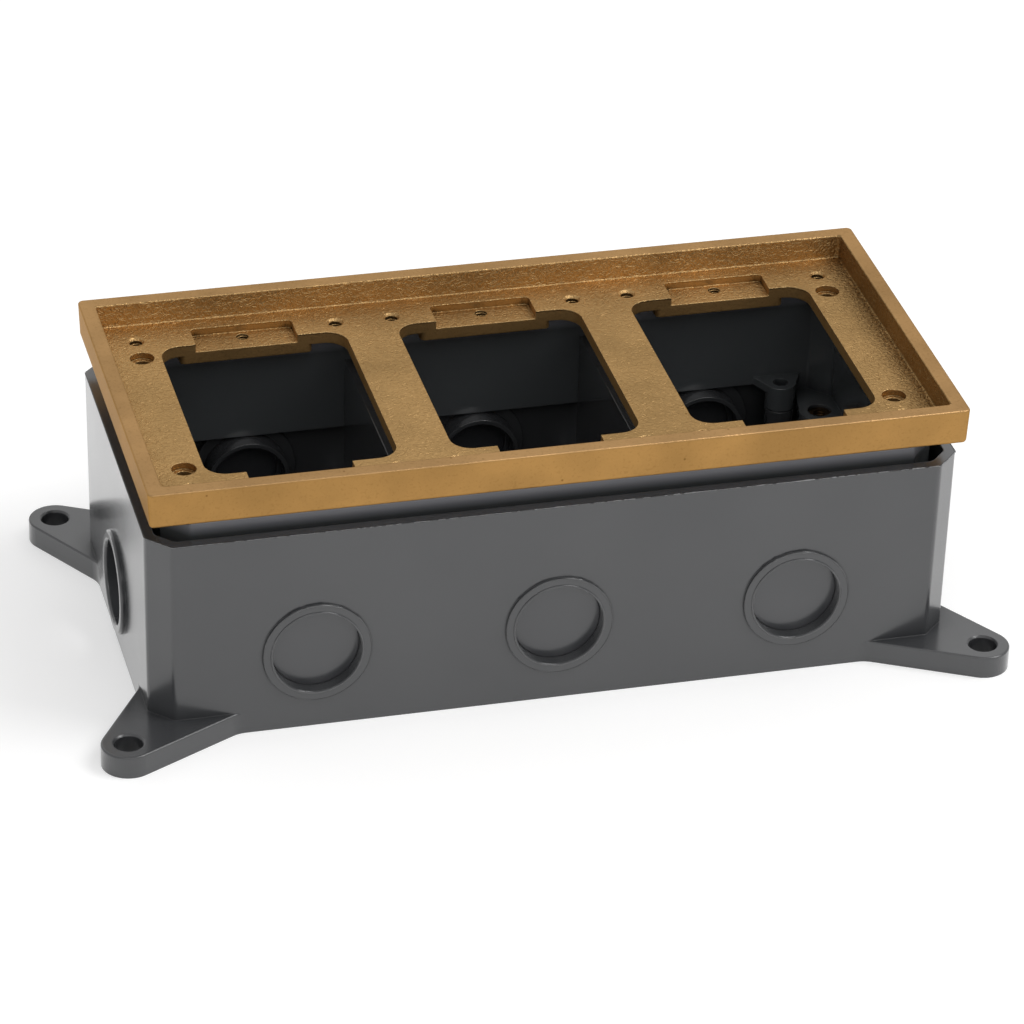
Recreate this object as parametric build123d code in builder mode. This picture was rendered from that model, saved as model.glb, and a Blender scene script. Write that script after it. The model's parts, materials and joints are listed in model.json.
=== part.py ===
from build123d import *
import os

os.makedirs("parts", exist_ok=True)

# Three-gang floor socket box, millimetres. X runs along the row of sockets, Y across it, Z up.
# The origin is the centre of the footprint, on the slab that the four feet stand on.

# Moulded box
box_length = 225.0
box_width = 104.0
box_height = 61.0
box_corner = 6.5
box_edge = 2.4
wall = 3.0
floor = 3.0
wall_draft = 0.5

# Fixing feet
foot_reach = 7.3
foot_radius = 7.5
foot_thickness = 6.5
foot_hole_radius = 3.8
foot_bevel = 0.5
foot_web_side = 26.0
foot_web_end = 21.0
foot_blend = 8.0
foot_edge = 0.5

# Half-inch conduit hubs in the long walls
hub_height = 23.6
hub_to_end = 45.5
hub_count = 3
hub_bore_radius = 10.7
hub_recess_radius = 12.2
hub_rim_radius = 14.9
hub_proud = 0.4
hub_recess_depth = 4.5
hub_socket_wall = 1.3
hub_socket_length = 12.0

# Three-quarter-inch conduit hubs in the end walls
end_hub_height = 20.0
end_hub_bore_radius = 11.8
end_hub_stop_radius = 10.3
end_hub_socket_wall = 1.6
end_hub_bead_radius = 14.6
end_hub_proud = 1.2
end_hub_bead_round = 0.8
end_hub_depth = 12.5
end_hub_stop_length = 2.0

# Hub closures
closure_web = 1.0
closure_lip = 1.5
closure_lip_wall = 1.3

# Levelling sleeve
sleeve_gap = 2.4
sleeve_wall = 2.5
sleeve_corner = 7.0
sleeve_edge = 1.5
sleeve_leg_depth = 6.5
sleeve_leg_length = 12.5
shelf_thickness = 2.5

# Levelling lugs, which stand on the box's posts
lug_radius = 4.4
lug_hole_radius = 2.1
lug_height = 7.5
lug_gusset = 6.5
lug_to_corner = 15.1
post_radius = 4.4
post_rib = 1.6
post_hole_radius = 1.6
post_hole_depth = 15.0

# Threaded inserts for the frame screws
screw_boss_radius = 6.0
screw_boss_height = 8.5
screw_boss_drop = 2.9
insert_radius = 3.4
insert_bore_radius = 1.8
insert_height = 7.0
insert_set_back = 1.0

# Dividers between the gangs
divider_thickness = 2.4
divider_gap = 0.6
divider_below_rim = 3.0
divider_shift = 3.3
guide_wall = 1.6
guide_reach = 7.0
guide_height = 16.0

# Cast cover frame
frame_past_ends = 0.2
frame_past_sides = 2.5
frame_height = 10.5
frame_above_box = 7.5
frame_corner = 1.6
frame_edge = 0.5
frame_bottom_edge = 1.2
frame_draft = 2.5
frame_rim = 4.4
recess_depth = 7.0
recess_corner = 1.2
recess_foot = 0.4

# Openings and socket pads
gang_count = 3
gang_to_end = 44.2
opening_to_end = 45.5
opening_length = 52.5
opening_width = 71.0
opening_corner = 6.0
pad_length = 28.8
pad_width = 9.0
pad_depth = 2.4
pad_corner = 1.5
pad_boss_length = 37.4
pad_boss_drop = 2.4
device_spacing = 83.3
device_hole_radius = 1.75

# Cover-plate holes and frame screw holes
cover_hole_radius = 1.75
cover_hole_mouth_radius = 2.4
cover_spacing = 80.8
cover_hole_offset = 26.2
frame_screw_inset_x = 13.9
frame_screw_y = 30.7
frame_screw_hole_radius = 2.2
frame_screw_head_radius = 3.4
frame_screw_head_depth = 2.0

# Clearances
running_gap = 0.3
closure_fit = 0.05
insert_fit = 0.02

# Levels
frame_bottom = box_height + frame_above_box
frame_top = frame_bottom + frame_height
plate_top = frame_top - recess_depth
plate_thickness = plate_top - frame_bottom
sleeve_bottom = hub_height + hub_bore_radius + hub_socket_wall + running_gap
leg_bottom = sleeve_bottom - sleeve_leg_depth
shelf_top = sleeve_bottom + shelf_thickness
lug_bottom = shelf_top - lug_height
post_top = lug_bottom - running_gap
screw_boss_top = sleeve_bottom - screw_boss_drop
insert_top = screw_boss_top - insert_set_back
divider_bottom = floor + running_gap
divider_top = box_height - divider_below_rim
guide_top = floor + guide_height

# Plan places
frame_length = box_length + 2 * frame_past_ends
frame_width = box_width + 2 * frame_past_sides
half_length = box_length / 2
half_width = box_width / 2
inner_half_length = half_length - wall
inner_half_width = half_width - wall
sleeve_half_length = inner_half_length - sleeve_gap
sleeve_half_width = inner_half_width - sleeve_gap
bay_half_length = sleeve_half_length - sleeve_wall
bay_half_width = sleeve_half_width - sleeve_wall
foot_x = half_length + foot_reach
foot_y = half_width + foot_reach
lug_x = bay_half_length - lug_to_corner
lug_y = bay_half_width - lug_radius
frame_screw_x = frame_length / 2 - frame_screw_inset_x
hub_face = half_width + hub_proud
hub_inner_face = sleeve_half_width + running_gap
end_hub_face = half_length + end_hub_proud
hub_socket_end = half_width - hub_socket_length
end_hub_seat = end_hub_face - end_hub_depth
end_hub_socket_end = end_hub_seat - end_hub_stop_length
divider_half_width = bay_half_width - divider_gap
pad_boss_end = bay_half_width - running_gap
hub_pitch = 2 * (half_length - hub_to_end) / (hub_count - 1)
gang_pitch = (frame_length - 2 * gang_to_end) / (gang_count - 1)
opening_pitch = (frame_length - 2 * opening_to_end) / (gang_count - 1)
gangs = [gang_pitch * (n - (gang_count - 1) / 2) for n in range(gang_count)]
divider_places = [(a + b) / 2 - divider_shift for a, b in zip(gangs, gangs[1:])]
hubs = [hub_pitch * (n - (hub_count - 1) / 2) for n in range(hub_count)]

# Square corners of the row, as pairs of signs
corners = [(sx, sy) for sx in (-1, 1) for sy in (-1, 1)]


def side_planes(distance, height):
    """Planes on the front and rear walls, at the hubs' height, facing outwards."""
    front = Plane(origin=(0, -distance, height), x_dir=(1, 0, 0), z_dir=(0, -1, 0))
    rear = Plane(origin=(0, distance, height), x_dir=(1, 0, 0), z_dir=(0, 1, 0))
    return front, rear


def end_planes(distance, height):
    """Planes on the left and right walls, at the hubs' height, facing outwards."""
    left = Plane(origin=(-distance, 0, height), x_dir=(0, 1, 0), z_dir=(-1, 0, 0))
    right = Plane(origin=(distance, 0, height), x_dir=(0, 1, 0), z_dir=(1, 0, 0))
    return left, right


def cut_corner_outline(length, width, corner, edge, inset=0.0):
    """A rectangle with cut corners and slightly rounded edges, moved in all round by inset."""
    with BuildSketch() as outline:
        Rectangle(length, width)
        chamfer(outline.vertices(), corner)
        if inset:
            offset(amount=-inset, kind=Kind.INTERSECTION, mode=Mode.REPLACE)
        fillet(outline.vertices(), edge)
    return outline.sketch


def downward(height):
    """A level plane that extrudes down."""
    return Plane(origin=(0, 0, height), x_dir=(1, 0, 0), z_dir=(0, 0, -1))


def lug_outline(x, y):
    """A boss and the gusset that carries it, against the sleeve's long wall."""
    side = 1 if y > 0 else -1
    root = side * (bay_half_width + sleeve_wall / 2)
    with BuildSketch() as outline:
        with Locations((x, y)):
            Circle(lug_radius)
        with BuildLine():
            Polyline(
                (x - lug_radius - lug_gusset / 2, root),
                (x, y),
                (x + lug_radius + lug_gusset / 2, root),
                close=True,
            )
        make_face()
        make_hull()
    return outline.sketch


def shelf_outline(sx, sy):
    """The corner shelf around a screw boss, between the sleeve's long wall and its end wall."""
    x = sx * frame_screw_x
    y = sy * frame_screw_y
    root_x = sx * (bay_half_length + sleeve_wall / 2)
    root_y = sy * (bay_half_width + sleeve_wall / 2)
    with BuildSketch() as outline:
        with Locations((x, y)):
            Circle(screw_boss_radius)
        with BuildLine():
            Polyline(
                (root_x, y - sy * screw_boss_radius),
                (root_x, root_y - sy * sleeve_corner),
                (root_x - sx * sleeve_corner, root_y),
                (x - sx * screw_boss_radius / 2, root_y),
                close=True,
            )
        make_face()
        make_hull()
    return outline.sketch


box_outline = cut_corner_outline(box_length, box_width, box_corner, box_edge)
box_cavity = cut_corner_outline(box_length, box_width, box_corner, box_edge, wall)
sleeve_outline = cut_corner_outline(
    2 * sleeve_half_length, 2 * sleeve_half_width, sleeve_corner, sleeve_edge
)
sleeve_bay = cut_corner_outline(
    2 * sleeve_half_length, 2 * sleeve_half_width, sleeve_corner, sleeve_edge, sleeve_wall
)


# Box body with its feet, hubs, posts and divider guides
with BuildPart() as box_body:
    with BuildSketch(downward(box_height)):
        add(box_outline)
    extrude(amount=box_height, taper=wall_draft)

    with BuildSketch() as feet:
        with Locations((foot_x, foot_y)):
            Circle(foot_radius)
        with BuildLine():
            Polyline(
                (half_length - foot_web_side, half_width - wall / 2),
                (foot_x, foot_y),
                (half_length - wall / 2, half_width - foot_web_end),
                close=True,
            )
        make_face()
        make_hull()
        mirror(about=Plane.XZ)
        mirror(about=Plane.YZ)
    extrude(amount=foot_thickness)
    foot_roots = [
        edge for edge in box_body.edges(Select.NEW) if edge.bounding_box().size.Z > foot_thickness / 2
    ]
    fillet(foot_roots, foot_blend)
    foot_tops = box_body.edges().filter_by_position(
        Axis.Z, foot_thickness - foot_edge, foot_thickness + foot_edge
    )
    foot_rims = [
        edge
        for edge in foot_tops
        if abs(edge.center().X) > half_length + foot_edge or abs(edge.center().Y) > half_width + foot_edge
    ]
    fillet(foot_rims, foot_edge)

    with BuildSketch(downward(box_height)):
        add(box_cavity)
    extrude(amount=box_height - floor, taper=wall_draft, mode=Mode.SUBTRACT)

    # Hub rims through the walls, and the sockets inside them
    with BuildSketch(*side_planes(hub_face, hub_height)):
        with GridLocations(hub_pitch, 1, hub_count, 1):
            Circle(hub_rim_radius)
    extrude(amount=-(hub_face - hub_inner_face))
    with BuildSketch(*side_planes(hub_inner_face, hub_height)):
        with GridLocations(hub_pitch, 1, hub_count, 1):
            Circle(hub_bore_radius + hub_socket_wall)
    extrude(amount=-(hub_inner_face - hub_socket_end))
    with BuildSketch(*side_planes(hub_face, hub_height)):
        with GridLocations(hub_pitch, 1, hub_count, 1):
            Circle(hub_recess_radius)
    extrude(amount=-hub_recess_depth, mode=Mode.SUBTRACT)
    with BuildSketch(*side_planes(hub_face, hub_height)):
        with GridLocations(hub_pitch, 1, hub_count, 1):
            Circle(hub_bore_radius)
    extrude(amount=-(hub_face - hub_socket_end), mode=Mode.SUBTRACT)

    # End hubs, each with a rounded bead round its mouth
    with BuildSketch(*end_planes(end_hub_face, end_hub_height)):
        Circle(end_hub_bead_radius)
    extrude(amount=-(end_hub_face - inner_half_length))
    with BuildSketch(*end_planes(inner_half_length, end_hub_height)):
        Circle(end_hub_bore_radius + end_hub_socket_wall)
    extrude(amount=-(inner_half_length - end_hub_socket_end))
    with BuildSketch(*end_planes(end_hub_face, end_hub_height)):
        Circle(end_hub_bore_radius)
    extrude(amount=-end_hub_depth, mode=Mode.SUBTRACT)
    with BuildSketch(*end_planes(end_hub_face, end_hub_height)):
        Circle(end_hub_stop_radius)
    extrude(amount=-(end_hub_face - end_hub_socket_end), mode=Mode.SUBTRACT)
    end_circles = box_body.edges().filter_by(GeomType.CIRCLE).filter_by(Plane.YZ).group_by(Axis.X)
    bead_round = min(end_hub_bead_round, end_hub_proud, (end_hub_bead_radius - end_hub_bore_radius) / 2)
    fillet(end_circles[0] + end_circles[-1], bead_round)

    # Posts under the levelling lugs, each tied to its wall by a rib
    rib_root = half_width - wall / 2
    with BuildSketch(Plane.XY.offset(floor / 2)):
        with GridLocations(2 * lug_x, 2 * lug_y, 2, 2):
            Circle(post_radius)
        with GridLocations(2 * lug_x, lug_y + rib_root, 2, 2):
            Rectangle(post_rib, rib_root - lug_y)
    extrude(amount=post_top - floor / 2)
    with Locations(Plane.XY.offset(post_top)):
        with GridLocations(2 * lug_x, 2 * lug_y, 2, 2):
            Hole(radius=post_hole_radius, depth=post_hole_depth)

    # Guide ribs on both sides of each divider's edges
    guide_offset = divider_thickness / 2 + running_gap + guide_wall / 2
    guide_end = inner_half_width - guide_reach
    guide_middle = (rib_root + guide_end) / 2
    guide_places = [
        (x + side * guide_offset, end * guide_middle)
        for x in divider_places
        for side in (-1, 1)
        for end in (-1, 1)
    ]
    with BuildSketch(Plane.XY.offset(floor / 2)):
        with Locations(*guide_places):
            Rectangle(guide_wall, rib_root - guide_end)
    extrude(amount=guide_top - floor / 2)

    # Foot holes, open to a small bevel at the top
    with Locations(Plane.XY.offset(foot_thickness)):
        with GridLocations(2 * foot_x, 2 * foot_y, 2, 2):
            CounterSinkHole(
                radius=foot_hole_radius,
                counter_sink_radius=foot_hole_radius + foot_bevel,
                depth=foot_thickness,
                counter_sink_angle=90,
            )


# Levelling sleeve, with corner legs, levelling lugs and screw bosses
with BuildPart() as levelling_sleeve:
    with BuildSketch(Plane.XY.offset(leg_bottom)):
        add(sleeve_outline)
        add(sleeve_bay, mode=Mode.SUBTRACT)
    extrude(amount=frame_bottom - leg_bottom)
    with BuildSketch(Plane.XY.offset(leg_bottom)):
        Rectangle(2 * (sleeve_half_length - sleeve_leg_length), 2 * half_width)
        Rectangle(2 * half_length, 2 * (frame_screw_y - screw_boss_radius))
    extrude(amount=sleeve_leg_depth, mode=Mode.SUBTRACT)

    for sx, sy in corners:
        with BuildSketch(Plane.XY.offset(shelf_top)):
            add(lug_outline(sx * lug_x, sy * lug_y))
        extrude(amount=-shelf_thickness)
        with BuildSketch(Plane.XY.offset(screw_boss_top)):
            add(shelf_outline(sx, sy))
        extrude(amount=-shelf_thickness)
    with BuildSketch(Plane.XY.offset(shelf_top)):
        with GridLocations(2 * lug_x, 2 * lug_y, 2, 2):
            Circle(lug_radius)
    extrude(amount=-lug_height)
    with BuildSketch(Plane.XY.offset(screw_boss_top)):
        with GridLocations(2 * frame_screw_x, 2 * frame_screw_y, 2, 2):
            Circle(screw_boss_radius)
    extrude(amount=-screw_boss_height)

    with Locations(Plane.XY.offset(shelf_top)):
        with GridLocations(2 * lug_x, 2 * lug_y, 2, 2):
            Hole(radius=lug_hole_radius, depth=lug_height)
    with Locations(Plane.XY.offset(screw_boss_top)):
        with GridLocations(2 * frame_screw_x, 2 * frame_screw_y, 2, 2):
            Hole(radius=insert_radius + insert_fit, depth=screw_boss_height)


# Threaded inserts, one in each screw boss
with BuildPart() as frame_screw_inserts:
    with BuildSketch(Plane.XY.offset(insert_top)):
        with GridLocations(2 * frame_screw_x, 2 * frame_screw_y, 2, 2):
            Circle(insert_radius)
            Circle(insert_bore_radius, mode=Mode.SUBTRACT)
    extrude(amount=-insert_height)


# Cover frame: drafted rim round a sunk plate
with BuildPart() as cover_frame:
    with BuildSketch(downward(frame_top)):
        RectangleRounded(frame_length, frame_width, frame_corner)
    extrude(amount=frame_height, taper=frame_draft)
    with BuildSketch(downward(frame_top)):
        RectangleRounded(frame_length - 2 * frame_rim, frame_width - 2 * frame_rim, recess_corner)
    extrude(amount=recess_depth, taper=frame_draft, mode=Mode.SUBTRACT)
    fillet(cover_frame.edges(Select.LAST).group_by(Axis.Z)[0], recess_foot)
    fillet(cover_frame.edges().group_by(Axis.Z)[-1], frame_edge)
    fillet(cover_frame.edges().group_by(Axis.Z)[0], frame_bottom_edge)

    # Bosses under the socket pads, which also centre the frame in the sleeve
    pad_boss_width = pad_boss_end - opening_width / 2
    pad_boss_y = opening_width / 2 + pad_boss_width / 2
    with BuildSketch(Plane.XY.offset(frame_bottom)):
        with GridLocations(gang_pitch, 2 * pad_boss_y, gang_count, 2):
            RectangleRounded(pad_boss_length, pad_boss_width, pad_corner)
    extrude(amount=-pad_boss_drop)

    # Openings, with a sunk pad at each long edge
    with BuildSketch(Plane.XY.offset(plate_top)):
        with GridLocations(opening_pitch, 1, gang_count, 1):
            RectangleRounded(opening_length, opening_width, opening_corner)
    extrude(amount=-(plate_thickness + pad_boss_drop), mode=Mode.SUBTRACT)
    with BuildSketch(Plane.XY.offset(plate_top)):
        with GridLocations(gang_pitch, 1, gang_count, 1):
            RectangleRounded(pad_length, opening_width + 2 * pad_width, pad_corner)
    extrude(amount=-pad_depth, mode=Mode.SUBTRACT)

    # Tapped holes for sockets and cover plates
    with Locations(Plane.XY.offset(plate_top - pad_depth)):
        with GridLocations(gang_pitch, device_spacing, gang_count, 2):
            Hole(radius=device_hole_radius, depth=plate_thickness - pad_depth + pad_boss_drop)
    inner_holes = [x + side * cover_hole_offset for x in gangs for side in (-1, 1)][1:-1]
    cover_holes = [-frame_screw_x, *inner_holes, frame_screw_x]
    with Locations(Plane.XY.offset(plate_top)):
        with Locations(*[(x, side * cover_spacing / 2) for x in cover_holes for side in (-1, 1)]):
            CounterSinkHole(
                radius=cover_hole_radius,
                counter_sink_radius=cover_hole_mouth_radius,
                depth=plate_thickness,
                counter_sink_angle=90,
            )

    # Sunk holes for the screws that hold the frame on the sleeve
    with Locations(Plane.XY.offset(plate_top)):
        with GridLocations(2 * frame_screw_x, 2 * frame_screw_y, 2, 2):
            CounterBoreHole(
                radius=frame_screw_hole_radius,
                counter_bore_radius=frame_screw_head_radius,
                counter_bore_depth=frame_screw_head_depth,
                depth=plate_thickness,
            )


def divider(x):
    """A plain partition plate, standing in its guides."""
    with BuildPart() as plate:
        with BuildSketch(Plane.XY.offset(divider_bottom)):
            with Locations((x, 0)):
                Rectangle(divider_thickness, 2 * divider_half_width)
        extrude(amount=divider_top - divider_bottom)
    return plate


def closure(plane, seat_radius, bore_radius):
    """A moulded disc on a hub's shoulder, with a lip that centres it in the bore behind."""
    with BuildPart() as disc:
        with BuildSketch(plane):
            Circle(seat_radius - closure_fit)
        extrude(amount=closure_web)
        with BuildSketch(plane):
            Circle(bore_radius - closure_fit)
            Circle(bore_radius - closure_fit - closure_lip_wall, mode=Mode.SUBTRACT)
        extrude(amount=-closure_lip)
    return disc


pieces = {
    "box_body": box_body,
    "levelling_sleeve": levelling_sleeve,
    "frame_screw_inserts": frame_screw_inserts,
    "cover_frame": cover_frame,
}

for side, x in zip(("left", "right"), divider_places):
    pieces[f"{side}_divider"] = divider(x)

# Closures in the six hubs of the long walls
hub_shoulder = hub_face - hub_recess_depth
for row, plane in zip(("front", "rear"), side_planes(hub_shoulder, hub_height)):
    for place, x in zip(("left", "middle", "right"), hubs):
        hub_plane = Plane(origin=plane.origin + Vector(x, 0, 0), x_dir=plane.x_dir, z_dir=plane.z_dir)
        pieces[f"{row}_{place}_closure"] = closure(hub_plane, hub_recess_radius, hub_bore_radius)

# The right end's hub is closed, and the left end's is open
right_end = end_planes(end_hub_seat, end_hub_height)[1]
pieces["right_end_closure"] = closure(right_end, end_hub_bore_radius, end_hub_stop_radius)

for name, piece in pieces.items():
    piece.part.label = name
    export_step(piece.part, f"parts/{name}.step")
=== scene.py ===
import bpy
import bmesh
import json
import random
from math import cos, pi, radians, sin
from mathutils import Matrix, Vector


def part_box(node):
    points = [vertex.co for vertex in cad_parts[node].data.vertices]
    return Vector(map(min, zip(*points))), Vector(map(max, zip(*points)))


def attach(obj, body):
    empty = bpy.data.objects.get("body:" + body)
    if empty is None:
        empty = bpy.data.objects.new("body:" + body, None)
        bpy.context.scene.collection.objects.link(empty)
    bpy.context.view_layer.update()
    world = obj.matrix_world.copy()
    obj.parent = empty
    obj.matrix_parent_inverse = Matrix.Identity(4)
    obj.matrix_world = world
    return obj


# Floor socket box: moulded PVC box, levelling sleeve and a cast bronze cover frame.
# Metres, +Z up, in the frame of the CAD part.

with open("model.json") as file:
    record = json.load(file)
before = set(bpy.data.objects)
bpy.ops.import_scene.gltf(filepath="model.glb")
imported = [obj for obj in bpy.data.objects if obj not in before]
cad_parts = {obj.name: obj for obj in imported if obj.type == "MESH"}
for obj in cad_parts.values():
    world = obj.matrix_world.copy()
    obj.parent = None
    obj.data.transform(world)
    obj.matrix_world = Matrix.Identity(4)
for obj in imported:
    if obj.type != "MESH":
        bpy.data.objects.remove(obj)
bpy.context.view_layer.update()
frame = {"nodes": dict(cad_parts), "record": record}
nodes = frame["nodes"]
mm = 0.001
rimWidth = 4.4 * mm      # of the cover frame
plateTop = 72.0 * mm     # its inner face, which the cover plates lie on
print("frame loaded:", len(nodes), "nodes")


def linear(hexColour):
    # sRGB hex to the linear colour that the shaders take
    parts = [int(hexColour[i:i + 2], 16) / 255 for i in (1, 3, 5)]
    return [c / 12.92 if c <= 0.04045 else ((c + 0.055) / 1.055) ** 2.4 for c in parts] + [1.0]


def addNode(tree, kind, settings=None, links=None):
    node = tree.nodes.new(kind)
    for name, value in (settings or {}).items():
        if isinstance(name, int) or name in node.inputs:
            node.inputs[name].default_value = value
        else:
            setattr(node, name, value)
    for name, socket in (links or {}).items():
        tree.links.new(socket, node.inputs[name])
    return node


def newMaterial(name):
    material = bpy.data.materials.new(name)
    material.use_nodes = True
    tree = material.node_tree
    tree.nodes.clear()
    surface = addNode(tree, "ShaderNodeBsdfPrincipled")
    addNode(tree, "ShaderNodeOutputMaterial", links={"Surface": surface.outputs["BSDF"]})
    place = addNode(tree, "ShaderNodeTexCoord").outputs["Object"]
    return material, tree, surface, place


# Materials

shaderRays = {"air": 8, "edge": 6}    # samples of the ambient occlusion and bevel nodes

# Sizes are those of the real surface. A pair holds the two ends of a range.
castBronze = {
    "castColour": "#BF9C6A",      # the skin from the mould, inside the rim
    "milledColour": "#BE9965",    # cut walls of the openings and holes
    "grazingTint": "#DDCCB5",     # what the metal keeps of a light seen at a slant
    "litTopColour": "#BC9668",       # ground, and facing up: painted paler, as if lit from above
    "shadedSideColour": "#A9814B",      # ground, and upright: painted darker, as if in shade
    "hollowColour": "#7E5C30",    # dirt in the hollows and pits
    "wearAndHighlightColour": "#D9BA85",      # edges: partly wear, partly a painted highlight
    "castRoughness": 0.46,
    "groundRoughness": 0.36,
    "milledRoughness": 0.52,
    "groundEdge": 0.3 * mm,       # from ground metal to cast skin
    "facingUp": (0.2, 0.9),
    "milledBelow": (0.3 * mm, 0.5 * mm),    # under the plate's face
    "swirlSize": 1.6 * mm,
    "swirlBend": 1.3,
    "sandSize": 0.8 * mm,
    "sandShare": 0.8,             # of the grain's height, beside the swirls
    "grainHeight": 0.115 * mm,
    "smoothGrain": 0.22,          # what ground and cut faces keep of the grain
    "hollowLevel": (0.45, 0.30),  # of the sand
    "hollowShare": 0.22,
    "pitSpacing": 9.0 * mm,
    "pitEdge": (0.015, 0.05),     # from its floor to its lip, in pit spacings
    "pitDepth": 0.1 * mm,
    "pitStrength": 0.6,
    "blotchSize": 20 * mm,
    "blotchLevel": (0.35, 0.65),
    "blotchTone": (0.86, 1.07),
    "paintedShadeColour": "#33271A",     # painted shade in the corners and holes
    "paintedShadeReach": 5 * mm,
    "paintedShadeAir": (0.4, 0.24),      # how much open air a place has
    "wallShadeHold": 0.66,             # share of the open air that counts on cut walls
    "endShadeReach": 9 * mm,       # painted shade along the right end wall and the plate beside it
    "endWallShade": 0.38,
    "endShadeStrokes": (0.14, 0.74),
    "endShadeLevel": (0.6, 0.4),    # of the sand
    "edgeRadius": 0.4 * mm,
    "wearAndHighlightTurn": (0.97, 0.85),     # cosine of the turn at a rounded edge
    "wearAndHighlightShare": 0.8,
    "patchLevel": (0.4, 0.6),     # of the sand
}


def makeCastBronze():
    # sand-cast bronze, its rim and outer faces ground: an orange-peel skin in warm brown inside,
    # smoother with a few dark pits outside; its ground faces painted paler facing up and darker upright
    # as painted light, with painted shade in the holes, the corners and along the right end, and paler edges
    # that are partly wear and partly a painted highlight
    look = castBronze
    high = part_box("cover_frame")[1]
    material, tree, surface, place = newMaterial("castBronze")

    # 1 on the ground rim and outer faces, 0 inside the recess
    parts = addNode(tree, "ShaderNodeSeparateXYZ", links={"Vector": place}).outputs
    overs = []
    for axis, half in (("X", high[0] - rimWidth), ("Y", high[1] - rimWidth)):
        across = addNode(tree, "ShaderNodeMath", {"operation": "ABSOLUTE"}, {0: parts[axis]})
        overs.append(addNode(tree, "ShaderNodeMath", {"operation": "SUBTRACT", 1: half},
                             {0: across.outputs[0]}))
    over = addNode(tree, "ShaderNodeMath", {"operation": "MAXIMUM"},
                   {0: overs[0].outputs[0], 1: overs[1].outputs[0]})
    ground = addNode(tree, "ShaderNodeMapRange", {"From Min": 0.0, "From Max": look["groundEdge"]},
                     {"Value": over.outputs[0]}).outputs["Result"]
    inside = addNode(tree, "ShaderNodeMath", {"operation": "SUBTRACT", 0: 1.0}, {1: ground}).outputs[0]

    # 1 on the walls cut below the plate's face
    normal = addNode(tree, "ShaderNodeNewGeometry").outputs["Normal"]
    facing = addNode(tree, "ShaderNodeSeparateXYZ", links={"Vector": normal}).outputs["Z"]
    start, full = look["facingUp"]
    upward = addNode(tree, "ShaderNodeMapRange", {"From Min": start, "From Max": full}, {"Value": facing})
    start, full = look["milledBelow"]
    below = addNode(tree, "ShaderNodeMapRange", {"From Min": plateTop - start, "From Max": plateTop - full},
                    {"Value": parts["Z"]})
    milled = addNode(tree, "ShaderNodeMath", {"operation": "MULTIPLY_ADD", "use_clamp": True, 1: -1.0},
                     {0: upward.outputs["Result"], 2: below.outputs["Result"]})
    milled = addNode(tree, "ShaderNodeMath", {"operation": "MULTIPLY"}, {0: milled.outputs[0], 1: inside})

    # grain: short curled ridges with finer sand between them
    swirl = addNode(tree, "ShaderNodeTexNoise",
                    {"noise_type": "RIDGED_MULTIFRACTAL", "Scale": 1 / look["swirlSize"], "Detail": 1.0,
                     "Offset": 1.0, "Distortion": look["swirlBend"]}, {"Vector": place}).outputs["Fac"]
    sand = addNode(tree, "ShaderNodeTexNoise", {"Scale": 1 / look["sandSize"], "Detail": 2.0},
                   {"Vector": place}).outputs["Fac"]
    grain = addNode(tree, "ShaderNodeMath", {"operation": "MULTIPLY_ADD", 1: look["sandShare"]},
                    {0: sand, 2: swirl})
    smooth = addNode(tree, "ShaderNodeMath", {"operation": "MAXIMUM"}, {0: ground, 1: milled.outputs[0]})
    grainDepth = addNode(tree, "ShaderNodeMapRange", {"To Min": 1.0, "To Max": look["smoothGrain"]},
                         {"Value": smooth.outputs[0]})
    skinHeight = addNode(tree, "ShaderNodeMath", {"operation": "MULTIPLY"},
                         {0: grain.outputs[0], 1: grainDepth.outputs["Result"]})
    pits = addNode(tree, "ShaderNodeTexVoronoi", {"Scale": 1 / look["pitSpacing"]}, {"Vector": place})
    start, full = look["pitEdge"]
    pit = addNode(tree, "ShaderNodeMapRange", {"From Min": start, "From Max": full},
                  {"Value": pits.outputs["Distance"]}).outputs["Result"]

    # colour: ground or cast metal, the ground metal painted in a lit and a shaded copy by its facing as
    # painted light, then the hollows, the blotches and the pits
    outer = addNode(tree, "ShaderNodeMix", {"data_type": "RGBA", 6: linear(look["shadedSideColour"]),
                                            7: linear(look["litTopColour"])}, {0: upward.outputs["Result"]})
    skin = addNode(tree, "ShaderNodeMix", {"data_type": "RGBA", 6: linear(look["castColour"]),
                                           7: linear(look["milledColour"])}, {0: milled.outputs[0]})
    colour = addNode(tree, "ShaderNodeMix", {"data_type": "RGBA"},
                     {0: ground, 6: skin.outputs[2], 7: outer.outputs[2]})
    start, full = look["hollowLevel"]
    hollow = addNode(tree, "ShaderNodeMapRange",
                     {"From Min": start, "From Max": full, "To Max": look["hollowShare"]}, {"Value": sand})
    colour = addNode(tree, "ShaderNodeMix", {"data_type": "RGBA", 7: linear(look["hollowColour"])},
                     {0: hollow.outputs["Result"], 6: colour.outputs[2]})
    blotch = addNode(tree, "ShaderNodeTexNoise", {"Scale": 1 / look["blotchSize"], "Detail": 4.0},
                     {"Vector": place}).outputs["Fac"]
    start, full = look["blotchLevel"]
    dark, pale = look["blotchTone"]
    tone = addNode(tree, "ShaderNodeMapRange",
                   {"From Min": start, "From Max": full, "To Min": dark, "To Max": pale}, {"Value": blotch})
    colour = addNode(tree, "ShaderNodeMix", {"data_type": "RGBA", "blend_type": "MULTIPLY", 0: 1.0},
                     {6: colour.outputs[2], 7: tone.outputs["Result"]})
    colour = addNode(tree, "ShaderNodeMix", {"data_type": "RGBA", 6: linear(look["hollowColour"])},
                     {0: pit, 7: colour.outputs[2]})
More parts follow.
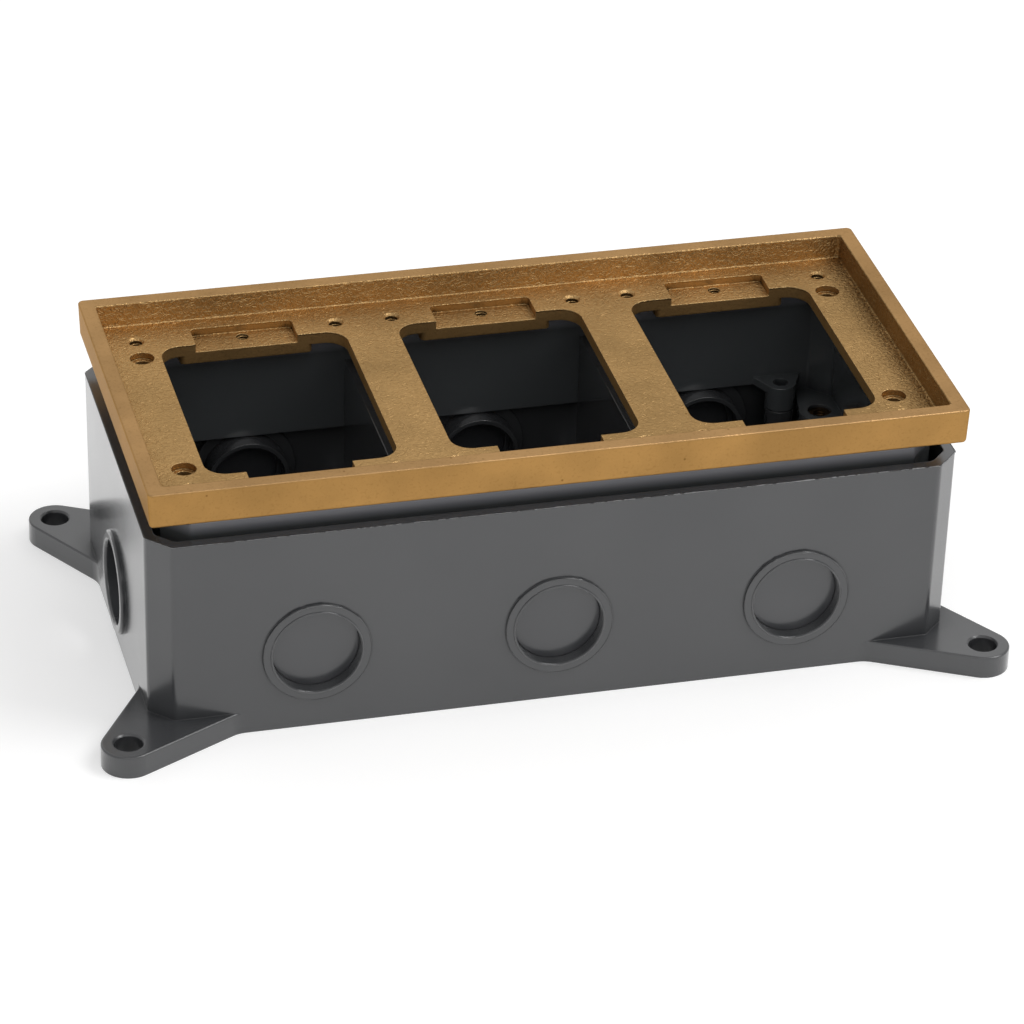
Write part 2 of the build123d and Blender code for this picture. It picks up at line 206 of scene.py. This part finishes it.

    # painted shade: darker where there is little open air, more on cut walls, so the holes turn dark and the
    # openings stay light; and mottled painted shade along the right end
    airy = addNode(tree, "ShaderNodeAmbientOcclusion", {"samples": shaderRays["air"], "only_local": True,
                                                        "Distance": look["paintedShadeReach"]}).outputs["AO"]
    hold = addNode(tree, "ShaderNodeMapRange", {"To Min": 1.0, "To Max": look["wallShadeHold"]},
                   {"Value": milled.outputs[0]})
    airy = addNode(tree, "ShaderNodeMath", {"operation": "MULTIPLY"}, {0: airy, 1: hold.outputs["Result"]})
    start, full = look["paintedShadeAir"]
    nook = addNode(tree, "ShaderNodeMapRange", {"From Min": start, "From Max": full},
                   {"Value": airy.outputs[0]})
    # painted shade in mottled strokes along the right end, even darker on its upright wall
    endWall = high[0] - rimWidth
    endShadeMask = addNode(tree, "ShaderNodeMapRange",
                      {"From Min": endWall - look["endShadeReach"], "From Max": endWall},
                      {"Value": parts["X"]})
    start, full = look["endShadeLevel"]
    thin, thick = look["endShadeStrokes"]
    stroke = addNode(tree, "ShaderNodeMapRange",
                     {"From Min": start, "From Max": full, "To Min": thin, "To Max": thick}, {"Value": sand})
    stroke = addNode(tree, "ShaderNodeMix", {2: look["endWallShade"]},
                     {0: upward.outputs["Result"], 3: stroke.outputs["Result"]})
    strokes = addNode(tree, "ShaderNodeMath", {"operation": "MULTIPLY"},
                      {0: endShadeMask.outputs["Result"], 1: stroke.outputs[0]})
    shadeMask = addNode(tree, "ShaderNodeMath", {"operation": "MAXIMUM"},
                    {0: nook.outputs["Result"], 1: strokes.outputs[0]})
    shadeMask = addNode(tree, "ShaderNodeMath", {"operation": "MULTIPLY"}, {0: shadeMask.outputs[0], 1: inside})
    colour = addNode(tree, "ShaderNodeMix", {"data_type": "RGBA", 7: linear(look["paintedShadeColour"])},
                     {0: shadeMask.outputs[0], 6: colour.outputs[2]})

    # edges paler in patches: partly wear, partly a painted highlight, in inside corners too
    rounded = addNode(tree, "ShaderNodeBevel", {"samples": shaderRays["edge"], "Radius": look["edgeRadius"]})
    rounded = rounded.outputs["Normal"]
    turn = addNode(tree, "ShaderNodeVectorMath", {"operation": "DOT_PRODUCT"}, {0: rounded, 1: normal})
    start, full = look["wearAndHighlightTurn"]
    wearAndHighlight = addNode(tree, "ShaderNodeMapRange",
                   {"From Min": start, "From Max": full, "To Max": look["wearAndHighlightShare"]},
                   {"Value": turn.outputs["Value"]})
    start, full = look["patchLevel"]
    patchy = addNode(tree, "ShaderNodeMapRange", {"From Min": start, "From Max": full}, {"Value": sand})
    edgeWearAndHighlight = addNode(tree, "ShaderNodeMath", {"operation": "MULTIPLY"},
                     {0: wearAndHighlight.outputs["Result"], 1: patchy.outputs["Result"]})
    colour = addNode(tree, "ShaderNodeMix", {"data_type": "RGBA", 7: linear(look["wearAndHighlightColour"])},
                     {0: edgeWearAndHighlight.outputs[0], 6: colour.outputs[2]})

    rough = addNode(tree, "ShaderNodeMapRange",
                    {"To Min": look["castRoughness"], "To Max": look["groundRoughness"]}, {"Value": ground})
    rough = addNode(tree, "ShaderNodeMix", {3: look["milledRoughness"]},
                    {0: milled.outputs[0], 2: rough.outputs["Result"]})
    bump = addNode(tree, "ShaderNodeBump", {"Strength": 1.0, "Distance": look["grainHeight"]},
                   {"Height": skinHeight.outputs[0], "Normal": rounded})
    pitBump = addNode(tree, "ShaderNodeBump", {"Strength": look["pitStrength"], "Distance": look["pitDepth"]},
                      {"Height": pit, "Normal": bump.outputs["Normal"]})
    surface.inputs["Metallic"].default_value = 1.0
    surface.inputs["Specular Tint"].default_value = linear(look["grazingTint"])
    tree.links.new(rough.outputs[0], surface.inputs["Roughness"])
    tree.links.new(colour.outputs[2], surface.inputs["Base Color"])
    tree.links.new(pitBump.outputs["Normal"], surface.inputs["Normal"])
    return material


mouldedPvc = {
    "ior": 1.53,
    "coatRoughness": 0.17,
    "flowSize": 34 * mm,
    "flowLevel": (0.3, 0.7),
    "flowShare": 0.8,             # of the gloss, where it is weakest
    "specularLevel": 0.5,
    "edgeRadius": 0.5 * mm,
    "holeShadeReach": 12 * mm,         # how narrow a hole has to be before painted shade darkens it and its gloss dulls
    "shinyAir": (0.3, 0.8),       # how much open air the shine needs
    "shadeAir": (0.2, 0.6),
    "shade": 0.3,                 # what is left of the colour in the narrowest holes
}


def makeMouldedPvc(name, colour, roughness, gloss):
    # rigid PVC from a polished mould: charcoal, with a wet-looking skin that mirrors the floor at a
    # slant, a gloss that comes and goes, and softly rounded edges that catch the light
    look = mouldedPvc
    material, tree, surface, place = newMaterial(name)
    flow = addNode(tree, "ShaderNodeTexNoise", {"Scale": 1 / look["flowSize"], "Detail": 3.0},
                   {"Vector": place})
    start, full = look["flowLevel"]
    cloud = addNode(tree, "ShaderNodeMapRange",
                    {"From Min": start, "From Max": full,
                     "To Min": gloss * look["flowShare"], "To Max": gloss}, {"Value": flow.outputs["Fac"]})
    rounded = addNode(tree, "ShaderNodeBevel", {"samples": shaderRays["edge"], "Radius": look["edgeRadius"]})
    airy = addNode(tree, "ShaderNodeAmbientOcclusion", {"samples": shaderRays["air"], "only_local": True,
                                                        "Distance": look["holeShadeReach"]}).outputs["AO"]
    start, full = look["shinyAir"]
    shine = addNode(tree, "ShaderNodeMapRange", {"From Min": start, "From Max": full}, {"Value": airy})
    shine = shine.outputs["Result"]
    coat = addNode(tree, "ShaderNodeMath", {"operation": "MULTIPLY"}, {0: shine, 1: cloud.outputs["Result"]})
    level = addNode(tree, "ShaderNodeMath", {"operation": "MULTIPLY", 1: look["specularLevel"]}, {0: shine})
    # painted shade: the colour darkened where there is little open air, deep in holes
    start, full = look["shadeAir"]
    shade = addNode(tree, "ShaderNodeMapRange",
                    {"From Min": start, "From Max": full, "To Min": look["shade"]}, {"Value": airy})
    shaded = addNode(tree, "ShaderNodeMix", {"data_type": "RGBA", "blend_type": "MULTIPLY", 0: 1.0,
                                             6: linear(colour)}, {7: shade.outputs["Result"]})
    tree.links.new(shaded.outputs[2], surface.inputs["Base Color"])
    surface.inputs["IOR"].default_value = look["ior"]
    surface.inputs["Roughness"].default_value = roughness
    surface.inputs["Coat Roughness"].default_value = look["coatRoughness"]
    tree.links.new(coat.outputs[0], surface.inputs["Coat Weight"])
    tree.links.new(level.outputs[0], surface.inputs["Specular IOR Level"])
    tree.links.new(rounded.outputs["Normal"], surface.inputs["Normal"])
    tree.links.new(rounded.outputs["Normal"], surface.inputs["Coat Normal"])
    return material


# painted reflection: the collar's top painted paler grey between these heights
collarSheen = {"colour": "#85878E", "from": 60.5 * mm, "to": 63.5 * mm}


def makeSleevePvc():
    # the same plastic, painted paler grey at the top of the collar that stands out of the box, a painted
    # reflection
    material = makeMouldedPvc("sleevePvc", colour="#4A4D4F", roughness=0.22, gloss=1.0)
    tree = material.node_tree
    place = addNode(tree, "ShaderNodeTexCoord").outputs["Object"]
    height = addNode(tree, "ShaderNodeSeparateXYZ", links={"Vector": place}).outputs["Z"]
    sheenBand = addNode(tree, "ShaderNodeMapRange",
                    {"From Min": collarSheen["from"], "From Max": collarSheen["to"]},
                    {"Value": height}).outputs["Result"]
    base = tree.nodes["Principled BSDF"].inputs["Base Color"]
    colour = addNode(tree, "ShaderNodeMix", {"data_type": "RGBA", 7: linear(collarSheen["colour"])},
                     {0: sheenBand, 6: base.links[0].from_socket})
    tree.links.new(colour.outputs[2], base)
    return material


turnedBrass = {
    "colour": "#6B5338",
    "roughness": 0.34,
    "ringSpacing": 1.57 * mm,     # coarser than the real 0.2 mm, which is too fine to draw
    "ringDepth": 0.03 * mm,
    "ringStrength": 0.4,
    "ringWander": 0.5,
}
waveSpeed = 20                    # radians of Blender's wave texture to one unit of its scaled place


def makeTurnedBrass():
    # turned brass gone brown in store: dark metal with fine rings left by the tool
    look = turnedBrass
    material, tree, surface, place = newMaterial("turnedBrass")
    rings = addNode(tree, "ShaderNodeTexWave", {"bands_direction": "Z", "Distortion": look["ringWander"],
                                                "Scale": 2 * pi / look["ringSpacing"] / waveSpeed},
                    {"Vector": place})
    bump = addNode(tree, "ShaderNodeBump", {"Strength": look["ringStrength"], "Distance": look["ringDepth"]},
                   {"Height": rings.outputs["Fac"]})
    surface.inputs["Base Color"].default_value = linear(look["colour"])
    surface.inputs["Metallic"].default_value = 1.0
    surface.inputs["Roughness"].default_value = look["roughness"]
    tree.links.new(bump.outputs["Normal"], surface.inputs["Normal"])
    return material


boxColour = "#3A3B3D"
bronze = makeCastBronze()
finishes = {
    "cast_bronze": bronze,
    "brass_inserts": makeTurnedBrass(),
    "box_pvc": makeMouldedPvc("boxPvc", colour=boxColour, roughness=0.26, gloss=0.86),
    "sleeve_pvc": makeSleevePvc(),
    "divider_pvc": makeMouldedPvc("dividerPvc", colour="#3A3B3D", roughness=0.14, gloss=1.0),
    "closure_pvc": makeMouldedPvc("closurePvc", colour="#38393C", roughness=0.28, gloss=1.0),
}
for part in frame["record"]["subparts"]:
    for slot in nodes[part["node"]].material_slots:
        slot.material = finishes[part["material_slot"]]
print("materials assigned")

# Pieces

holes = {                         # of the cover frame
    "gangs": (-68.5 * mm, 0.0, 68.5 * mm),
    "screwX": 98.8 * mm,          # the frame's own screws, over the inserts
    "screwY": 30.7 * mm,
    "coverX": 26.2 * mm,          # cover plate screws, from the middle of a gang
    "coverY": 40.4 * mm,
    "deviceY": 41.65 * mm,        # socket strap screws
}


def addPiece(name, verts, faces, material, body, smooth=False):
    mesh = bpy.data.meshes.new(name)
    mesh.from_pydata(verts, [], faces)
    mesh.materials.append(material)
    mesh.validate()
    work = bmesh.new()
    work.from_mesh(mesh)
    bmesh.ops.recalc_face_normals(work, faces=work.faces)
    work.to_mesh(mesh)
    work.free()
    if smooth:
        mesh.shade_smooth()
    piece = bpy.data.objects.new(name, mesh)
    bpy.context.scene.collection.objects.link(piece)
    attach(piece, body)


def alongPath(corners, step, closed=True):
    # points every step along straight runs, each with the outward direction of its run
    points = []
    runs = list(zip(corners, corners[1:] + corners[:1])) if closed else list(zip(corners, corners[1:]))
    for start, end in runs:
        run = Vector(end) - Vector(start)
        outward = Vector((run.y, -run.x, 0)).normalized()
        count = max(2, int(run.length / step))
        points += [(Vector(start) + run * (n / count), outward) for n in range(count)]
    return points


def addBead(verts, faces, points, heights, widths, closed):
    # a ragged ridge of triangular section: inner foot, crest, outer foot
    first = len(verts)
    for (point, outward), height, width in zip(points, heights, widths):
        verts += [point - outward * width, point + Vector((0, 0, height)), point + outward * width]
    count = len(points)
    for n in range(count if closed else count - 1):
        a, b = first + 3 * n, first + 3 * ((n + 1) % count)
        faces += [(a, b, b + 1, a + 1), (a + 1, b + 1, b + 2, a + 2), (a, a + 2, b + 2, b)]
    if not closed:
        last = first + 3 * (count - 1)
        faces += [(first, first + 1, first + 2), (last, last + 2, last + 1)]


# Burr left on the outer edge of the box where its rim was sawn, in dashes that grow to the right
rimBurr = {
    "halfLength": 112.5 * mm,     # of the box wall
    "halfWidth": 52.0 * mm,
    "corner": 6.5 * mm,
    "overhang": 0.02 * mm,
    "step": 0.6 * mm,
    "height": 0.3 * mm,
    "width": 0.11 * mm,
    "sunk": 0.08 * mm,
    "footWidth": 0.1,             # share of the width where there is no burr
    "changes": 0.45,              # chance that a dash starts or ends at a step
    "levels": (0.0, 0.5, 0.8, 1.0),
    "raggedFrom": 0.7,
    "leftShare": 0.3,
    "colour": "#C9CACC",
    "roughness": 0.5,
    "seed": 4,
}


def makeRimBurr():
    look = rimBurr
    chance = random.Random(look["seed"])
    halfLength, halfWidth = look["halfLength"] + look["overhang"], look["halfWidth"] + look["overhang"]
    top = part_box("box_body")[1].z - look["sunk"]
    c = look["corner"]
    corners = []
    for sx, sy in ((1, -1), (1, 1), (-1, 1), (-1, -1)):
        pair = [(sx * (halfLength - c), sy * halfWidth, top), (sx * halfLength, sy * (halfWidth - c), top)]
        corners += pair if sx * sy < 0 else pair[::-1]
    points = alongPath(corners, look["step"])
    heights, level = [], 0.0
    for point, _ in points:
        if chance.random() < look["changes"]:
            level = chance.choice(look["levels"])
        rightward = (point.x / halfLength + 1) / 2
        share = look["leftShare"] + (1 - look["leftShare"]) * rightward
        heights.append(look["height"] * level * share * chance.uniform(look["raggedFrom"], 1.0))
    widths = [look["width"] * (look["footWidth"] + height / look["height"]) for height in heights]
    verts, faces = [], []
    addBead(verts, faces, points, heights, widths, True)
    # torn plastic: pale and dull
    frayed = makeMouldedPvc("frayedPvc", look["colour"], look["roughness"], gloss=0.0)
    addPiece("rimBurr", verts, faces, frayed, "box")


# Rounded lips at the mouths of the long walls' hubs, and ragged flash over their rims
hubLips = {
    "places": (-67.0 * mm, 0.0, 67.0 * mm),
    "height": 23.6 * mm,
    "face": 52.4 * mm,
    "mouthRadius": 12.55 * mm,
    "mouthTube": 0.34 * mm,
    "mouthFrom": 0.92,            # share of the tube where it is thinnest
    "rimRadius": 14.8 * mm,
    "rimTube": 0.22 * mm,
    "rimBase": 0.4,               # share of the rim's tube all round
    "rimGrowth": 0.8,             # what the flash adds toward the top
    "raggedAbove": 0.5,           # of the rim's radius
    "ragged": (0.3, 2.0),
    "rimSides": 96,
    "tubeSides": 12,
    "roughness": 0.09,            # polished by the mould's core
    "seed": 7,
}


def addRing(verts, faces, centre, radius, tubes, tubeSides):
    # a tube bent into an upright ring that faces the long walls, one tube radius for each station
    first, count = len(verts), len(tubes)
    for n, tube in enumerate(tubes):
        turn = 2 * pi * n / count
        for k in range(tubeSides):
            roll = 2 * pi * k / tubeSides
            out = radius + tube * cos(roll)
            verts.append(centre + Vector((out * cos(turn), tube * sin(roll), out * sin(turn))))
    for n in range(count):
        for k in range(tubeSides):
            a, b = n * tubeSides, (n + 1) % count * tubeSides
            m = (k + 1) % tubeSides
            faces.append((first + a + k, first + b + k, first + b + m, first + a + m))


def makeHubLips():
    look = hubLips
    chance = random.Random(look["seed"])
    verts, faces = [], []
    for x in look["places"]:
        for side in (-1, 1):
            centre = Vector((x, side * look["face"], look["height"]))
            tubes = [look["mouthTube"] * chance.uniform(look["mouthFrom"], 1.0)
                     for _ in range(look["rimSides"])]
            addRing(verts, faces, centre, look["mouthRadius"], tubes, look["tubeSides"])
            tubes = []
            for n in range(look["rimSides"]):
                upper = max(0.0, sin(2 * pi * n / look["rimSides"]))
                ragged = chance.uniform(*look["ragged"]) if upper > look["raggedAbove"] else 1.0
                tubes.append(look["rimTube"] * (look["rimBase"] + look["rimGrowth"] * upper * ragged))
            addRing(verts, faces, centre, look["rimRadius"], tubes, look["tubeSides"])
    # the box's plastic, mirror smooth, for a thin bright line
    lipPvc = makeMouldedPvc("lipPvc", boxColour, look["roughness"], gloss=1.0)
    lipPvc.node_tree.nodes["Principled BSDF"].inputs["Coat Roughness"].default_value = look["roughness"]
    addPiece("hubLips", verts, faces, lipPvc, "box", smooth=True)


# Ragged lines where the casting's mould leaked: round the recess and the socket pads
castFlash = {
    "step": 0.7 * mm,
    "wallHeight": 0.30 * mm,
    "wallInset": 0.45 * mm,       # the recess narrows this much down to the plate
    "padHeight": 0.34 * mm,
    "padInset": 0.3 * mm,
    "padLength": 28.8 * mm,
    "padFar": 44.5 * mm,
    "padNear": 36.2 * mm,
    "padFloor": 69.6 * mm,
    "width": 0.26 * mm,
    "sunk": 0.05 * mm,
    "changes": 0.3,               # chance of a new level at a step
    "levels": (0.1, 0.3, 0.6, 1.0),
    "firstLevel": 0.5,
    "heightFrom": 0.6,
    "widthRange": (0.6, 1.1),
    "seed": 11,
}


def makeCastFlash():
    look = castFlash
    chance = random.Random(look["seed"])
    verts, faces = [], []

    def addFlash(corners, height, closed):
        points = alongPath([Vector(c) for c in corners], look["step"], closed)
        heights, level = [], look["firstLevel"]
        for _ in points:
            if chance.random() < look["changes"]:
                level = chance.choice(look["levels"])
            heights.append(look["sunk"] + height * level * chance.uniform(look["heightFrom"], 1.0))
        widths = [look["width"] * chance.uniform(*look["widthRange"]) for _ in points]
        addBead(verts, faces, points, heights, widths, closed)

    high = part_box("cover_frame")[1]
    halfLength, halfWidth = high.x - rimWidth - look["wallInset"], high.y - rimWidth - look["wallInset"]
    level = plateTop - look["sunk"]
    addFlash([(-halfLength, -halfWidth, level), (halfLength, -halfWidth, level),
              (halfLength, halfWidth, level), (-halfLength, halfWidth, level)], look["wallHeight"], True)
    half = look["padLength"] / 2 - look["padInset"]
    floor = look["padFloor"] - look["sunk"]
    for gang in holes["gangs"]:
        for side in (-1, 1):
            near, far = side * look["padNear"], side * look["padFar"]
            addFlash([(gang - half, near, floor), (gang - half, far, floor), (gang + half, far, floor),
                      (gang + half, near, floor)], look["padHeight"], False)
    addPiece("castFlash", verts, faces, bronze, "frame")


# Screw threads in the tapped holes and the inserts
threads = {
    "coverHoles": {"body": "frame", "slot": "cast_bronze", "radius": 1.75 * mm,
                   "pitch": 0.8 * mm, "depth": 0.3 * mm, "top": 70.8 * mm, "turns": 2},
    "deviceHoles": {"body": "frame", "slot": "cast_bronze", "radius": 1.75 * mm,
                    "pitch": 0.8 * mm, "depth": 0.3 * mm, "top": 69.3 * mm, "turns": 3},
    "insertHoles": {"body": "sleeve", "slot": "brass_inserts", "radius": 1.8 * mm,
                    "pitch": 0.7 * mm, "depth": 0.28 * mm, "top": 31.8 * mm, "turns": 9},
}
threadForm = {
    "sides": 20,                  # stations to a turn
    "buried": 0.05 * mm,
    "foot": 0.42,                 # half width of a ridge, as a share of the pitch
}


def addThread(verts, faces, x, y, look):
    # a helix of triangular section whose foot is buried in the hole's wall
    sides = threadForm["sides"]
    first = len(verts)
    count = sides * look["turns"]
    wall = look["radius"] + threadForm["buried"]
    half = look["pitch"] * threadForm["foot"]
    for n in range(count + 1):
        turn = 2 * pi * n / sides
        z = look["top"] - look["pitch"] * (n / sides) - look["pitch"] / 2
        taper = min(1.0, n / sides, (count - n) / sides)
        crest = look["radius"] - look["depth"] * taper
        verts += [(x + wall * cos(turn), y + wall * sin(turn), z + half),
                  (x + crest * cos(turn), y + crest * sin(turn), z),
                  (x + wall * cos(turn), y + wall * sin(turn), z - half)]
    for n in range(count):
        a, b = first + 3 * n, first + 3 * (n + 1)
        faces += [(a, b, b + 1, a + 1), (a + 1, b + 1, b + 2, a + 2), (a + 2, b + 2, b, a)]
    last = first + 3 * count
    faces += [(first, first + 1, first + 2), (last, last + 2, last + 1)]


def makeThreads():
    gangs, screwX, screwY = holes["gangs"], holes["screwX"], holes["screwY"]
    # in line with the frame's screws at the two ends
    rows = sorted(gang + side * holes["coverX"] for gang in gangs for side in (-1, 1))[1:-1]
    places = {
        "coverHoles": [(x, side * holes["coverY"]) for x in [-screwX, *rows, screwX] for side in (-1, 1)],
        "deviceHoles": [(x, side * holes["deviceY"]) for x in gangs for side in (-1, 1)],
        "insertHoles": [(sx * screwX, sy * screwY) for sx in (-1, 1) for sy in (-1, 1)],
    }
    for name, look in threads.items():
        verts, faces = [], []
        for x, y in places[name]:
            addThread(verts, faces, x, y, look)
        addPiece(name + "Thread", verts, faces, finishes[look["slot"]], look["body"],
                 smooth=True)


makeRimBurr()
makeHubLips()
makeCastFlash()
makeThreads()
print("pieces made")

# Camera, at the photograph's angle
camera = {
    "azimuth": -14.96,
    "elevation": 30.89,
    "roll": 1.69,
    "distance": 1.356,
    "aim": (-0.0003, 0.0, 0.02875),
    "lens": 170.7,
    "sensor": 36.0,
    "clipEnd": 20,
}


def makeCamera():
    azimuth, elevation = radians(camera["azimuth"]), radians(camera["elevation"])
    back = Vector((sin(azimuth) * cos(elevation), -cos(azimuth) * cos(elevation), sin(elevation)))
    right = Vector((0, 0, 1)).cross(back).normalized()
    up = back.cross(right)
    turn = Matrix((right, up, back)).transposed().to_4x4() @ Matrix.Rotation(radians(camera["roll"]), 4, "Z")
    data = bpy.data.cameras.new("studioCamera")
    data.lens = camera["lens"]
    data.sensor_width = camera["sensor"]
    data.clip_end = camera["clipEnd"]
    view = bpy.data.objects.new("studioCamera", data)
    view.matrix_world = Matrix.Translation(Vector(camera["aim"]) + camera["distance"] * back) @ turn
    bpy.context.scene.collection.objects.link(view)
    bpy.context.scene.camera = view


makeCamera()

# Studio
studio = {
    "floorSize": 12.0,
    "floorColour": "#DCDCDC",
    "floorRoughness": 0.95,
    "floorGlow": 0.42,            # what camera and mirror rays see besides the lit floor
    "worldLevel": 0.62,
    "backdropLevel": 1.0,
}

# softboxes: place, size and watts, each facing the object
lamps = {
    "keySoftbox": {"place": (1.3, -0.5, 2.0), "size": (1.2, 1.2), "power": 22},
    "frontSoftbox": {"place": (-0.2, -1.7, 1.5), "size": (1.6, 0.8), "power": 5},
    "rearSoftbox": {"place": (0.2, 1.9, 1.5), "size": (2.0, 1.0), "power": 2},
}


def makeLamp(name, lamp):
    data = bpy.data.lights.new(name, "AREA")
    data.shape = "RECTANGLE"
    data.size, data.size_y = lamp["size"]
    data.energy = lamp["power"]
    light = bpy.data.objects.new(name, data)
    light.location = lamp["place"]
    light.rotation_euler = Vector(lamp["place"]).to_track_quat("Z", "Y").to_euler()
    bpy.context.scene.collection.objects.link(light)


def seenDirectly(tree):
    # 1 for camera, mirror and glass rays, 0 for the rays that light the object
    path = addNode(tree, "ShaderNodeLightPath").outputs
    seen = addNode(tree, "ShaderNodeMath", {"operation": "MAXIMUM"},
                   {0: path["Is Camera Ray"], 1: path["Is Glossy Ray"]})
    return addNode(tree, "ShaderNodeMath", {"operation": "MAXIMUM"},
                   {0: seen.outputs[0], 1: path["Is Transmission Ray"]}).outputs[0]


def makeStudio():
    # matt white paper that runs out of sight and keeps the object's shadow
    mesh = bpy.data.meshes.new("studioFloor")
    half = studio["floorSize"] / 2
    corners = [(-half, -half, 0), (half, -half, 0), (half, half, 0), (-half, half, 0)]
    mesh.from_pydata(corners, [], [(0, 1, 2, 3)])
    floor = bpy.data.objects.new("studioFloor", mesh)
    bpy.context.scene.collection.objects.link(floor)
    material, tree, surface, _ = newMaterial("paperFloor")
    surface.inputs["Base Color"].default_value = linear(studio["floorColour"])
    surface.inputs["Roughness"].default_value = studio["floorRoughness"]
    surface.inputs["Specular IOR Level"].default_value = 0.0
    surface.inputs["Emission Color"].default_value = (1, 1, 1, 1)
    glow = addNode(tree, "ShaderNodeMath", {"operation": "MULTIPLY", 1: studio["floorGlow"]},
                   {0: seenDirectly(tree)})
    tree.links.new(glow.outputs[0], surface.inputs["Emission Strength"])
    mesh.materials.append(material)

    world = bpy.data.worlds.new("studioWorld")
    world.use_nodes = True
    tree = world.node_tree
    background = tree.nodes["Background"]
    background.inputs["Color"].default_value = (1, 1, 1, 1)
    cameraRay = addNode(tree, "ShaderNodeLightPath").outputs["Is Camera Ray"]
    level = addNode(tree, "ShaderNodeMapRange",
                    {"To Min": studio["worldLevel"], "To Max": studio["backdropLevel"]}, {"Value": cameraRay})
    tree.links.new(level.outputs["Result"], background.inputs["Strength"])
    bpy.context.scene.world = world
    for name, lamp in lamps.items():
        makeLamp(name, lamp)


makeStudio()
bpy.context.scene.view_settings.view_transform = "Standard"
print("studio lit")
